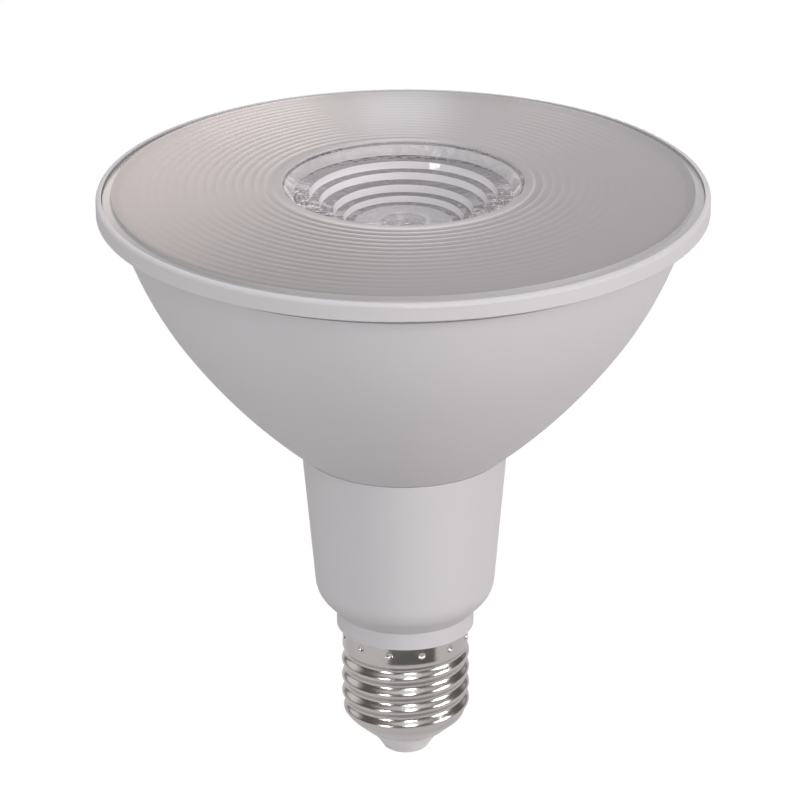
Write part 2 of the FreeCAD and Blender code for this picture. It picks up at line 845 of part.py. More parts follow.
def on_back(shape, z):
    """Turns a piece modelled upright on Z so that it stands on the board's back face."""
    shape.rotate(Vector(0, 0, 0), Vector(1, 0, 0), -90)
    shape.translate(Vector(0, board_back_y, z))
    return shape


def make_bridge_rectifier():
    body = block(bridge_side, bridge_side, bridge_height, 0, 0, 0)
    return on_back(body, on_board(bridge_share))


def make_fuse_resistor():
    """Barrel resistor that lies across the tongue of the board."""
    body = Part.makeCylinder(fuse_r, fuse_length,
                             Vector(-fuse_length / 2, board_front_y - fuse_r, tongue_foot_z + fuse_lift),
                             Vector(1, 0, 0))
    return body.makeFillet(can_rounding, body.Edges)


def make_driver_chip():
    body = block(chip_body_width, chip_body_length, chip_body_height, 0, 0, 0)
    leads = []
    for row in range(leads_per_side):
        offset = (row - (leads_per_side - 1) / 2) * lead_pitch
        leads.append(block(chip_body_width + 2 * lead_reach, lead_width, chip_body_height / 2, 0, offset, 0))
    return on_back(body.fuse(leads).removeSplitter(), on_board(driver_chip_share))


# Wires

def make_wire(points, r):
    """Round wire along straight runs joined by tangent arcs."""
    place = [Vector(*p) for p in points]
    edges = []
    start = place[0]
    for i in range(1, len(place) - 1):
        back = (place[i - 1] - place[i])
        onward = (place[i + 1] - place[i])
        run = bend_share * min(back.Length, onward.Length)
        half = back.getAngle(onward) / 2
        radius = run * math.tan(half)
        back.normalize()
        onward.normalize()
        inward = (back + onward).normalize()
        arc_start = place[i] + back * run
        arc_end = place[i] + onward * run
        middle = place[i] + inward * (radius / math.sin(half) - radius)
        edges.append(Part.LineSegment(start, arc_start).toShape())
        edges.append(Part.Arc(arc_start, middle, arc_end).toShape())
        start = arc_end
    edges.append(Part.LineSegment(start, place[-1]).toShape())
    path = Part.Wire(edges)
    ring = Part.Wire(Part.makeCircle(r, place[0], place[1] - place[0]))
    return path.makePipeShell([ring], True, True)


def make_live_wire():
    x = -wire_offset
    y = board_back_y + mains_wire_r
    stem_top = contact_thickness + contact_stem_length
    return make_wire([(x, y, tongue_foot_z + solder_lap),
                      (x, y, tongue_foot_z - 2 * wire_slack),
                      (0, 0, stem_top + 4 * wire_slack),
                      (0, 0, stem_top)], mains_wire_r)


def make_neutral_wire():
    x = wire_offset
    y = board_back_y + mains_wire_r
    run_z = nose_z - mains_wire_r - wire_gap
    end_x, end_y = polar(thread_root_r - cap_sheet - loose_fit, math.atan2(y, x))
    return make_wire([(x, y, tongue_foot_z + solder_lap),
                      (x, y, run_z),
                      (end_x, end_y, run_z)], mains_wire_r)


def make_led_wire(side):
    x = side * wire_offset
    y = board_back_y + led_wire_r
    feed_y = math.sqrt(feed_span ** 2 - wire_offset ** 2)
    entry_z = (sink_top_z + holder_top_z) / 2
    entry_y = math.sqrt(holder_r ** 2 - (wire_offset - led_wire_r) ** 2) + press_fit
    return make_wire([(x, y, board_top_z - solder_lap),
                      (x, y, board_top_z + wire_slack),
                      (x, feed_y, sink_z - wire_slack),
                      (x, feed_y, entry_z),
                      (x, entry_y, entry_z)], led_wire_r)


def make_plate_screws():
    return Part.makeCompound([
        make_screw(*polar(boss_span, angle), sink_top_z, plate_screw_length) for angle in boss_angles])


def make_holder_screws():
    return Part.makeCompound([
        make_screw(side * holder_screw_span, 0, holder_top_z, holder_screw_length) for side in (-1, 1)])


def build():
    can_z = board_top_z - can_drop
    return {
        "cap_shell": make_cap_shell(),
        "cap_insulator": make_insulator(),
        "centre_contact": make_contact(),
        "driver_housing": make_driver_housing(),
        "bowl_housing": make_bowl(),
        "front_bezel": make_bezel(),
        "front_lens": make_front_lens(),
        "centre_optic": make_centre_optic(),
        "heat_sink": make_heat_sink(),
        "thermal_pad": make_thermal_pad(),
        "led_substrate": block(chip_side, chip_side, chip_thickness, 0, 0, chip_z),
        "led_phosphor": rod(phosphor_r, phosphor_z, phosphor_z + phosphor_thickness),
        "led_holder": make_led_holder(),
        "holder_screws": make_holder_screws(),
        "plate_screws": make_plate_screws(),
        "driver_board": make_driver_board(),
        "input_capacitor": make_can(input_can_r, input_can_height, -can_spacing / 2, can_z),
        "output_capacitor": make_can(output_can_r, output_can_height, can_spacing / 2, can_z),
        "film_capacitor": make_film_capacitor(),
        "transformer_core": make_transformer_core(),
        "transformer_winding": make_transformer_winding(),
        "filter_choke": make_filter_choke(),
        "bridge_rectifier": make_bridge_rectifier(),
        "fuse_resistor": make_fuse_resistor(),
        "driver_chip": make_driver_chip(),
        "live_wire": make_live_wire(),
        "neutral_wire": make_neutral_wire(),
        "led_wire_positive": make_led_wire(1),
        "led_wire_negative": make_led_wire(-1)}


os.makedirs("parts", exist_ok=True)
for name, shape in build().items():
    shape.exportStep("parts/" + name + ".step")
    print(name, "valid" if shape.isValid() else "NOT VALID", len(shape.Solids), round(shape.Volume, 1))
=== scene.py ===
import math

import bpy
from bpy.props import FloatProperty, FloatVectorProperty, IntProperty, PointerProperty
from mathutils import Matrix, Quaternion, Vector


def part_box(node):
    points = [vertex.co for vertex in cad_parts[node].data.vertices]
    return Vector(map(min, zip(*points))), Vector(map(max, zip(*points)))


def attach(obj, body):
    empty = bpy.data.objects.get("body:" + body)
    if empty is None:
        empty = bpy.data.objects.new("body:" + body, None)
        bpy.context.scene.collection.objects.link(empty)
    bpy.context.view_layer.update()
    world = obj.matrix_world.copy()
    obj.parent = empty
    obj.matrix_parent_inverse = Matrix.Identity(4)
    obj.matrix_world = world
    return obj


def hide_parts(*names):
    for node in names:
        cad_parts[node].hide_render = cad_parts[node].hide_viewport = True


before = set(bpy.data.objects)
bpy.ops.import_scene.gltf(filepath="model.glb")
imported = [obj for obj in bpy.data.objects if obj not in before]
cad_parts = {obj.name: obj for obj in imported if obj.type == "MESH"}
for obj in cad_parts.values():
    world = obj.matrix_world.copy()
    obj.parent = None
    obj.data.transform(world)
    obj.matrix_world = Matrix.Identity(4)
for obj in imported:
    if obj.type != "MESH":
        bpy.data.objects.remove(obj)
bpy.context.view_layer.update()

bl_info = {
    "name": "Reflector Spotlight Lamp",
    "version": (1, 0, 0),
    "blender": (4, 5, 0),
    "location": "View3D > Sidebar > Spotlight",
    "description": "Moulded shell, rippled cover, clear optic and plated screw cap of a reflector lamp",
    "category": "Object",
}

MM = 0.001
WHITE = (1.0, 1.0, 1.0, 1.0)
# Point on the lamp's axis at which the camera and the soft boxes aim
MIDDLE = Vector((0.0, 0.0, 0.0772))


def colour_property(name, description, default, brightest=1.0):
    return FloatVectorProperty(name=name, description=description, subtype="COLOR",
                               size=3, min=0.0, max=brightest, default=default)


def length_property(name, description, default):
    return FloatProperty(name=name, description=description, unit="LENGTH", precision=5,
                         min=0.0, default=default)


def offset_property(name, description, default):
    return FloatProperty(name=name, description=description, unit="LENGTH", precision=5, default=default)


def lengths_property(name, description, default):
    return FloatVectorProperty(name=name, description=description, unit="LENGTH", precision=5,
                               size=len(default), min=0.0, default=default)


def share_property(name, description, default):
    return FloatProperty(name=name, description=description, subtype="FACTOR",
                         min=0.0, max=1.0, default=default)


def angle_property(name, description, degrees):
    return FloatProperty(name=name, description=description, subtype="ANGLE", default=math.radians(degrees))


class ShellFinish(bpy.types.PropertyGroup):
    """Satin white plastic of the bowl, the bezel and the neck."""

    colour: colour_property("Colour", "Colour of the moulded shell", (0.635, 0.63, 0.65))
    bezel_colour: colour_property("Bezel colour", "Colour of the bezel", (0.608, 0.598, 0.612))
    roughness: share_property("Roughness", "How matt the moulded shell is", 0.52)
    grain: length_property("Grain", "Width of the fine mould texture", 0.5 * MM)
    relief: length_property("Relief", "Height of the fine mould texture", 0.006 * MM)


class CoverSizes(bpy.types.PropertyGroup):
    """Rippled front cover."""

    colour: colour_property("Colour", "Tint of the frosted cover", (0.35, 0.327, 0.332))
    edge_colour: colour_property("Edge colour", "Colour of the cover's border", (0.46, 0.45, 0.45))
    # Painted light: the wall round the opening and the ring beneath are far paler than the cover, standing in
    # for light that the clear sheet carries to them.
    collar_painted_light_colour: colour_property("Collar colour", "Colour of the wall round the optic", (0.60, 0.60, 0.61))
    shade: colour_property("Shade", "Colour of lamplight that has passed the cover", (0.95, 0.94, 0.94))
    roughness: share_property("Roughness", "How much the cover scatters light", 0.40)
    clearness: share_property("Clearness", "Share of light that the cover lets through", 0.5)
    polish: share_property("Polish", "Roughness of the moulded face's gloss", 0.14)
    ripple_pitch: length_property("Ripple pitch", "Distance from one ring to the next", 1.875 * MM)
    ripple_height: length_property("Ripple height", "Height of the innermost ring", 0.047 * MM)
    ripple_fade: share_property("Ripple fade", "Part of the height that the outermost ring lacks", 0.78)
    crown_radius: length_property("Crown radius", "Radius of the gentle dome", 1110 * MM)
    crest_clearance: length_property("Crest clearance", "From the first crest to the solid's top", 0.061 * MM)
    thickness: length_property("Thickness", "Wall of the cover", 2.2 * MM)
    opening: length_property("Opening", "Radius of the hole for the optic", 23.95 * MM)
    opening_wall: length_property("Opening wall", "Height of the wall round the opening", 3.0 * MM)
    inner_land: length_property("Inner land", "Least plain width between opening and ripples", 1.5 * MM)
    collar_radius: length_property("Collar radius", "Inside radius of the ring under the cover", 25.7 * MM)
    collar_wall: length_property("Collar wall", "Wall of the ring under the cover", 1.5 * MM)
    border: length_property("Border", "Width of the lower step round the edge", 1.8 * MM)
    border_height: length_property("Border height", "Height of that step over its seat", 2.0 * MM)
    edge_rounding: length_property("Edge rounding", "Rounding of the outer edge", 0.25 * MM)
    edge_reach: length_property("Edge reach", "How far the edge passes the solid, to the bezel", 0.1 * MM)
    seat_height: length_property("Seat height", "Height of the bezel's seat over the contact", 120.0 * MM)
    seat_width: length_property("Seat width", "Width of the flat that rests on the bezel", 3.6 * MM)


class OpticSizes(bpy.types.PropertyGroup):
    """Clear stepped optic in the middle of the cover."""

    clarity_roughness: share_property("Roughness", "Polish of the clear surfaces", 0.015)
    clear_colour: colour_property("Clear colour", "Tint of the clear plastic", (0.975, 0.965, 0.975))
    # Painted shade: this tint holds in front, and towards the back the treads darken to about a third of it.
    tread_colour: colour_property("Tread colour", "Tint of the flat treads of the steps", (0.95, 0.92, 0.95))
    # Painted glints: in front the slope is speckled light and dark by chance, and towards the back it evens
    # out to a darker shade.
    slope_colour: colour_property("Slope colour", "Colour of the slope inside the rim", (1.0, 0.97, 0.99))
    # Painted light: the risers are pale and mostly opaque, so that the lamps light them as pale bands, in
    # place of the light that comes out through clear risers from inside the optic.
    riser_painted_light_colour: colour_property("Riser colour", "Colour of the frosted risers", (0.90, 0.88, 0.91))
    # Painted glints: in front the raised middle is speckled light and dark by chance, and towards the back it
    # evens out to a mid shade.
    button_colour: colour_property("Button colour", "Colour of the raised middle", (0.75, 0.735, 0.745))
    # Painted glints: the flank is near-white and mostly opaque, speckled light and dark by chance in front,
    # so that it sparkles through the dish.
    flank_painted_glint_colour: colour_property("Flank colour", "Colour of the faceted flank", (1.0, 0.98, 1.0))
    corner: length_property("Corner", "Rounding of the steps' corners", 0.12 * MM)
    facets: IntProperty(name="Facets", description="Flats round the optic's flank", min=8, default=48)
    flange_drop: length_property("Flange drop", "From the rim's top down to the flange", 3.1 * MM)
    flange_wall: length_property("Flange wall", "Thickness of the flange", 1.5 * MM)
    rim_radius: length_property("Rim radius", "Outside radius of the rim", 23.85 * MM)
    bevel_radius: length_property("Bevel radius", "Inner radius of the rim's bevel", 23.35 * MM)
    bevel_depth: length_property("Bevel depth", "Depth of the rim's bevel", 0.52 * MM)
    slope_radius: length_property("Slope radius", "Radius at the foot of the rim's slope", 21.75 * MM)
    slope_depth: length_property("Slope depth", "Depth of that slope's foot", 2.2 * MM)
    tread_radii: lengths_property("Tread radii", "Inner radius of each tread",
                                  (18.6 * MM, 16.6 * MM, 13.8 * MM, 11.85 * MM))
    riser_heights: lengths_property("Riser heights", "Height of the riser inside each tread",
                                    (1.4 * MM, 1.4 * MM, 1.45 * MM, 1.2 * MM))
    tread_fall: length_property("Tread fall", "How much lower a tread is at its inner edge", 0.2 * MM)
    riser_lean: length_property("Riser lean", "How far a riser's foot stands inwards", 0.2 * MM)
    floor_ring: length_property("Floor ring", "Inner radius of the beaded ring on the dish's floor", 9.8 * MM)
    button_radius: length_property("Button radius", "Radius of the raised middle", 4.6 * MM)
    button_height: length_property("Button height", "Height of the raised middle", 0.35 * MM)
    well_radius: length_property("Well radius", "Radius of the hollow over the light source", 5.8 * MM)
    well_depth: length_property("Well depth", "Height of that hollow at its wall", 5.4 * MM)
    well_dome: length_property("Well dome", "Rise of its roof to the middle", 1.0 * MM)
    foot_inner: length_property("Foot inner radius", "Inner radius of the foot", 7.2 * MM)
    foot_outer: length_property("Foot outer radius", "Outer radius of the foot", 8.8 * MM)
    flank_radius: length_property("Flank radius", "Radius at which the flank meets the flange", 22.9 * MM)
    flank_bulge: length_property("Flank bulge", "How far the flank stands off its chord", 1.3 * MM)


class CapFinish(bpy.types.PropertyGroup):
    """Plated screw cap."""

    colour: colour_property("Colour", "Colour of the plated sheet", (0.66, 0.635, 0.625))
    roughness: share_property("Roughness", "Polish of the plated sheet", 0.19)


class StudioSettings(bpy.types.PropertyGroup):
    """Floor, room, lamps and camera."""

    floor_colour: colour_property("Floor colour", "Colour of the floor", (0.495, 0.478, 0.475))
    backdrop_strength: FloatProperty(name="Backdrop strength", description="Brightness of the white backdrop",
                                     min=0.0, default=1.03)
    backdrop_share: share_property("Backdrop share", "Share of plain backdrop in the floor as seen", 0.96)
    mirrored_share: share_property("Mirrored share", "Share of plain backdrop in the floor as mirrored", 0.35)
    card_colour: colour_property("Card colour", "Card that the cap mirrors", (0.01, 0.009, 0.009))
    card_near: length_property("Card near", "From the axis to the card's inner edge", 51 * MM)
    card_far: length_property("Card far", "From the axis to the card's outer edge", 77 * MM)
    card_start: angle_property("Card start", "Where the card starts, left of the front", -28)
    card_end: angle_property("Card end", "Where the card ends, right of the front", 52)
    dark_room: colour_property("Dark room", "Colour of the room towards the camera", (0.12, 0.104, 0.092))
    pale_room: colour_property("Pale room", "Colour of the room behind the lamp", (0.82, 0.80, 0.81))
    blush: colour_property("Blush", "Colour of the warm patch behind the lamp", (1.75, 1.54, 1.48), 3.0)
    ceiling: colour_property("Ceiling", "Colour of the room overhead", (0.90, 0.90, 0.91))
    key_power: FloatProperty(name="Key power", description="Power of which each soft box takes its share",
                             unit="POWER", default=9.0)
    lens: FloatProperty(name="Lens", description="Focal length of the camera in millimetres", default=201.7)
    distance: length_property("Distance", "From the camera to the middle of the lamp", 900 * MM)
    elevation: angle_property("Elevation", "Height of the camera over the horizon", 23.2)
    aside: offset_property("Aside", "Shift of the camera's aim to the side", -0.84 * MM)
    above: offset_property("Above", "Shift of the camera's aim upwards", 0.3 * MM)
    roll: angle_property("Roll", "Tilt of the camera about its own axis", 0.30)


# Node trees

def link(tree, source, target):
    tree.links.new(source, target)


def feed(tree, socket, value):
    """Links an output to the socket, or sets the socket to a plain value."""
    if isinstance(value, bpy.types.NodeSocket):
        link(tree, value, socket)
    else:
        socket.default_value = value


def add_node(tree, kind, **inputs):
    """Node with its sockets fed by name, where an underscore stands for a space."""
    node = tree.nodes.new(kind)
    for name, value in inputs.items():
        feed(tree, node.inputs[name.replace("_", " ")], value)
    return node


def calculate(tree, operation, *values):
    """Result of a sum on numbers or outputs."""
    node = tree.nodes.new("ShaderNodeMath")
    node.operation = operation
    for socket, value in zip(node.inputs, values):
        feed(tree, socket, value)
    return node.outputs[0]


def scale_colour(tree, colour, factor):
    node = tree.nodes.new("ShaderNodeVectorMath")
    node.operation = "SCALE"
    feed(tree, node.inputs[0], colour)
    feed(tree, node.inputs["Scale"], factor)
    return node.outputs["Vector"]


def drift(tree, noise, amount, base):
    """The base value plus the noise about its middle times the amount."""
    centred = calculate(tree, "SUBTRACT", noise, 0.5)
    return calculate(tree, "MULTIPLY_ADD", centred, amount, base)


def smooth_step(tree, source, start, end):
    """Smooth rise from 0 at the start to 1 at the end."""
    step = tree.nodes.new("ShaderNodeMapRange")
    step.interpolation_type = "SMOOTHSTEP"
    for name, value in (("Value", source), ("From Min", start), ("From Max", end)):
        feed(tree, step.inputs[name], value)
    return step.outputs["Result"]


def mix_colours(tree, factor, first, second):
    node = tree.nodes.new("ShaderNodeMix")
    node.data_type = "RGBA"
    for name, value in (("Factor", factor), ("A", first), ("B", second)):
        feed(tree, node.inputs[name], value)
    return node.outputs["Result"]


def mix_shaders(tree, factor, first, second):
    node = tree.nodes.new("ShaderNodeMixShader")
    for socket, source in zip(node.inputs, (factor, first, second)):
        link(tree, source, socket)
    return node.outputs[0]


def group_socket(group, name, direction, kind, value=None):
    socket = group.interface.new_socket(name=name, in_out=direction, socket_type="NodeSocket" + kind)
    if value is not None:
        socket.default_value = value


def moulded_group():
    """Colour drift, roughness drift and fine relief of moulded or painted surfaces."""
    group = bpy.data.node_groups.new("moulded_surface", "ShaderNodeTree")
    group_socket(group, "Colour", "INPUT", "Color", (0.6, 0.6, 0.6, 1.0))
    group_socket(group, "Colour Drift", "INPUT", "Float", 0.03)
    group_socket(group, "Roughness", "INPUT", "Float", 0.5)
    group_socket(group, "Roughness Drift", "INPUT", "Float", 0.06)
    group_socket(group, "Grain Scale", "INPUT", "Float", 2000.0)
    group_socket(group, "Colour", "OUTPUT", "Color")
    group_socket(group, "Roughness", "OUTPUT", "Float")
    group_socket(group, "Height", "OUTPUT", "Float")
    given = group.nodes.new("NodeGroupInput").outputs
    result = group.nodes.new("NodeGroupOutput").inputs
    place = group.nodes.new("ShaderNodeTexCoord").outputs["Object"]
    cloud = add_node(group, "ShaderNodeTexNoise", Vector=place, Scale=38.0, Detail=3.0)
    smear = add_node(group, "ShaderNodeTexNoise", Vector=place, Scale=210.0, Detail=4.0)
    grain = add_node(group, "ShaderNodeTexNoise", Vector=place, Scale=given["Grain Scale"], Detail=2.0)
    shade = drift(group, cloud.outputs["Fac"], given["Colour Drift"], 1.0)
    link(group, scale_colour(group, given["Colour"], shade), result["Colour"])
    link(group, drift(group, smear.outputs["Fac"], given["Roughness Drift"], given["Roughness"]),
         result["Roughness"])
    link(group, grain.outputs["Fac"], result["Height"])
    return group


def turned_group():
    """Roughness and relief of metal that was spun, drawn or brushed round the lamp's axis."""
    group = bpy.data.node_groups.new("turned_metal", "ShaderNodeTree")
    group_socket(group, "Roughness", "INPUT", "Float", 0.1)
    group_socket(group, "Roughness Drift", "INPUT", "Float", 0.1)
    group_socket(group, "Line Scale", "INPUT", "Float", 3000.0)
    group_socket(group, "Roughness", "OUTPUT", "Float")
    group_socket(group, "Height", "OUTPUT", "Float")
    given = group.nodes.new("NodeGroupInput").outputs
    result = group.nodes.new("NodeGroupOutput").inputs
    place = group.nodes.new("ShaderNodeTexCoord").outputs["Object"]
    parts = add_node(group, "ShaderNodeSeparateXYZ", Vector=place)
    level = group.nodes.new("ShaderNodeVectorMath")
    level.operation = "MULTIPLY"
    level.inputs[1].default_value = (1.0, 1.0, 0.0)
    link(group, place, level.inputs[0])
    radius = group.nodes.new("ShaderNodeVectorMath")
    radius.operation = "LENGTH"
    link(group, level.outputs[0], radius.inputs[0])
    section = add_node(group, "ShaderNodeCombineXYZ", X=radius.outputs["Value"], Z=parts.outputs["Z"])
    lines = add_node(group, "ShaderNodeTexNoise", Vector=section.outputs[0],
                     Scale=given["Line Scale"], Detail=3.0)
    smear = add_node(group, "ShaderNodeTexNoise", Vector=place, Scale=260.0, Detail=5.0)
    link(group, drift(group, smear.outputs["Fac"], given["Roughness Drift"], given["Roughness"]),
         result["Roughness"])
    link(group, lines.outputs["Fac"], result["Height"])
    return group


def place_group(tree, name, **inputs):
    """Outputs of a shared node group, placed with its own values and made at its first use."""
    makers = {"moulded_surface": moulded_group, "turned_metal": turned_group}
    node = tree.nodes.new("ShaderNodeGroup")
    node.node_tree = bpy.data.node_groups.get(name) or makers[name]()
    for socket, value in inputs.items():
        feed(tree, node.inputs[socket.replace("_", " ")], value)
    return node.outputs


def new_material(name):
    material = bpy.data.materials.new(name)
    material.use_nodes = True
    return material, material.node_tree, material.node_tree.nodes["Principled BSDF"]


def set_plain(shader, **values):
    """Uniform values of the shader, with an underscore for each space."""
    for socket, value in values.items():
        shader.inputs[socket.replace("_", " ")].default_value = value


def add_bump(tree, shader, height, distance):
    bump = add_node(tree, "ShaderNodeBump", Strength=1.0, Distance=distance, Height=height)
    link(tree, bump.outputs["Normal"], shader.inputs["Normal"])


def add_moulded_surface(tree, shader, colour, colour_drift, roughness, roughness_drift, grain_scale=2000.0):
    """Feeds the shader's colour and roughness, and gives back the outputs of the moulded surface."""
    surface = place_group(tree, "moulded_surface", Colour=(*colour, 1.0), Colour_Drift=colour_drift,
                          Roughness=roughness, Roughness_Drift=roughness_drift, Grain_Scale=grain_scale)
    link(tree, surface["Colour"], shader.inputs["Base Color"])
    link(tree, surface["Roughness"], shader.inputs["Roughness"])
    return surface


def let_lamps_through(tree, shader, colour):
    """Lets the lamps light what lies behind a clear or frosted piece."""
    paths = tree.nodes.new("ShaderNodeLightPath")
    clear = add_node(tree, "ShaderNodeBsdfTransparent", Color=(*colour, 1.0))
    mixed = mix_shaders(tree, paths.outputs["Is Shadow Ray"], shader.outputs[0], clear.outputs[0])
    link(tree, mixed, tree.nodes["Material Output"].inputs["Surface"])


def moulded_material(name, colour, roughness, grain=0.5 * MM, relief=0.005 * MM, colour_drift=0.03, **plain):
    """Moulded plastic, paint, rubber or ceramic."""
    material, tree, shader = new_material(name)
    surface = add_moulded_surface(tree, shader, colour, colour_drift, roughness, 0.08, 1.0 / grain)
    add_bump(tree, shader, surface["Height"], relief)
    set_plain(shader, **plain)
    return material


def metal_material(name, colour, roughness, line_width=0.3 * MM, relief=0.001 * MM, roughness_drift=0.1):
    """Plated, spun or drawn metal."""
    material, tree, shader = new_material(name)
    surface = place_group(tree, "turned_metal", Roughness=roughness, Roughness_Drift=roughness_drift,
                          Line_Scale=1.0 / line_width)
    set_plain(shader, Base_Color=(*colour, 1.0), Metallic=1.0)
    link(tree, surface["Roughness"], shader.inputs["Roughness"])
    add_bump(tree, shader, surface["Height"], relief)
    return material


def give(node, material):
    """Puts a material on a node of the frame."""
    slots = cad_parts[node].material_slots
    if not slots:
        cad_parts[node].data.materials.append(material)
    for slot in slots:
        slot.link = "OBJECT"
        slot.material = material


# Shapes turned round the lamp's axis

def eased(outline, radius, steps=3):
    """The closed outline with an arc in place of each corner, but for corners that are nearly straight."""
    points = []
    count = len(outline)
    for i, (r, z) in enumerate(outline):
        here = Vector((r, z))
        back = Vector(outline[i - 1]) - here
        onward = Vector(outline[(i + 1) % count]) - here
        half = back.angle(onward) / 2
        if r <= 0.0 or half > math.radians(80):
            points.append((r, z))
            continue
        run = min(radius / math.tan(half), 0.4 * back.length, 0.4 * onward.length)
        start = here + back.normalized() * run
        end = here + onward.normalized() * run
        for step in range(steps + 1):
            share = step / steps
            point = start.lerp(here, share).lerp(here.lerp(end, share), share)
            points.append((max(point.x, 0.0), point.y))
    return points


def turn_outline(name, outline, segments, sharp, place=None):
    """Object made by turning a closed outline about the lamp's axis, with its faces turned outwards."""
    turn = sum(a[0] * b[1] - b[0] * a[1] for a, b in zip(outline, outline[1:] + outline[:1]))
    if turn < 0:
        outline = outline[::-1]
    verts = []
    rings = []
    for r, z in outline:
        if r <= 0.0:
            rings.append([len(verts)] * segments)
            verts.append((0.0, 0.0, z))
            continue
        rings.append(list(range(len(verts), len(verts) + segments)))
        for i in range(segments):
            angle = 2 * math.pi * i / segments
            out = place(r, z, angle) if place else r
            verts.append((out * math.cos(angle), out * math.sin(angle), z))
    faces = []
    for lower, upper in zip(rings, rings[1:] + rings[:1]):
        if lower[0] == lower[1] and upper[0] == upper[1]:
            continue
        for i in range(segments):
            j = (i + 1) % segments
            faces.append(list(dict.fromkeys((lower[i], lower[j], upper[j], upper[i]))))
    mesh = bpy.data.meshes.new(name)
    mesh.from_pydata(verts, [], faces)
    mesh.update()
    mesh.polygons.foreach_set("use_smooth", [True] * len(mesh.polygons))
    mesh.set_sharp_from_angle(angle=sharp)
    piece = bpy.data.objects.new(name, mesh)
    bpy.context.scene.collection.objects.link(piece)
    return piece


def arc_points(start, end, rise, count):
    """Points along a low arc that stands off its chord by the rise, both ends included."""
    a = Vector(start)
    chord = Vector(end) - a
    side = Vector((-chord.y, chord.x)).normalized()
    return [tuple(a + chord * (i / count) + side * (4 * rise * (i / count) * (1 - i / count)))
            for i in range(count + 1)]


# Pieces

class SPOTLIGHT_OT_shell(bpy.types.Operator):
    """Finish the bowl, the bezel and the neck as satin white mouldings"""

    bl_idname = "spotlight.shell"
    bl_label = "Moulded shell"

    def execute(self, context):
        finish = context.scene.spotlight_shell
        plastic = moulded_material("satin_white_shell", finish.colour, finish.roughness,
                                   finish.grain, finish.relief, colour_drift=0.02)
        for node in ("bowl_housing", "driver_housing"):
            give(node, plastic)
        give("front_bezel", moulded_material("satin_white_bezel", finish.bezel_colour, finish.roughness,
                                             finish.grain, finish.relief, colour_drift=0.02))
        return {"FINISHED"}


class SPOTLIGHT_OT_cover(bpy.types.Operator):
    """Build the rippled front cover"""

    bl_idname = "spotlight.cover"
    bl_label = "Rippled cover"

    def outline(self, sizes):
        """Closed section: opening, ripples, border, seat, underside and the ring beneath."""
        low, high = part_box("front_lens")
        edge = high.x + sizes.edge_reach
        ripples_end = high.x - sizes.border
        count = int((ripples_end - sizes.opening - sizes.inner_land) / sizes.ripple_pitch)
        start = ripples_end - count * sizes.ripple_pitch
        first_crest = start + sizes.ripple_pitch / 2
        drop = sizes.crown_radius - math.sqrt(sizes.crown_radius ** 2 - first_crest ** 2)
        crown = high.z - sizes.crest_clearance + drop

        def face(r):
            """Height of the gentle dome at a radius."""
            return crown - sizes.crown_radius + math.sqrt(sizes.crown_radius ** 2 - r ** 2)

        wall_foot = face(sizes.opening) - sizes.opening_wall
        points = [(sizes.opening, wall_foot), (sizes.opening, face(sizes.opening)), (start, face(start))]
        steps = 8
        for ring in range(count):
            height = sizes.ripple_height * (1 - sizes.ripple_fade * ring / (count - 1))
            for step in range(1, steps + 1):
                share = step / steps
                r = start + (ring + share) * sizes.ripple_pitch
                points.append((r, face(r) + 4 * height * share * (1 - share)))
        border = sizes.seat_height + sizes.border_height
        rounding = sizes.edge_rounding
        cut = 0.28 * rounding
        step_bend = (ripples_end + 0.15 * MM, border + 0.1 * MM)
        step_foot = (ripples_end + 0.35 * MM, border)
        seat_end = edge - sizes.seat_width
        points += [step_bend, step_foot, (edge - rounding, border), (edge - cut, border - cut),
                   (edge, border - rounding), (edge, sizes.seat_height), (seat_end, sizes.seat_height)]
        ring_outer = sizes.collar_radius + sizes.collar_wall
        steps = 12
        for step in range(steps + 1):
            r = seat_end + (ring_outer - seat_end) * step / steps
            points.append((r, face(r) - sizes.thickness))
        points += [(ring_outer, low.z), (sizes.collar_radius, low.z), (sizes.collar_radius, wall_foot)]
        return points

    def frosted_plastic(self, sizes):
        material, tree, shader = new_material("frosted_cover")
        surface = add_moulded_surface(tree, shader, sizes.colour, 0.04, sizes.roughness, 0.06, 900.0)
        set_plain(shader, Transmission_Weight=sizes.clearness, IOR=1.52,
                  Coat_Weight=1.0, Coat_Roughness=sizes.polish)
        add_bump(tree, shader, surface["Height"], 0.003 * MM)
        let_lamps_through(tree, shader, sizes.shade)
        return material

    def execute(self, context):
        sizes = context.scene.spotlight_cover
        cover = turn_outline("rippled_cover", self.outline(sizes), 320, math.radians(30))
        border = moulded_material("cover_border", sizes.edge_colour, 0.35,
                                  Coat_Weight=1.0, Coat_Roughness=sizes.polish)
        # Painted light: a pale opaque finish on the wall round the opening and the ring beneath, in place of
        # the light that the clear sheet carries there.
        collar_painted_light = moulded_material("cover_collar_painted_light", sizes.collar_painted_light_colour, 0.4)
        for material in (self.frosted_plastic(sizes), border, collar_painted_light):
            cover.data.materials.append(material)
        border_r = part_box("front_lens")[1].x - sizes.border
        ring_outer = sizes.collar_radius + sizes.collar_wall
        for face in cover.data.polygons:
            r = math.hypot(face.center.x, face.center.y)
            if r > border_r:
                face.material_index = 1
            # The wall round the opening and the walls of the ring beneath take the finish with painted light.
            elif r < ring_outer + 0.05 * MM and abs(face.normal.z) < 0.5:
                face.material_index = 2
        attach(cover, "root")
        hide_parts("front_lens")
        return {"FINISHED"}


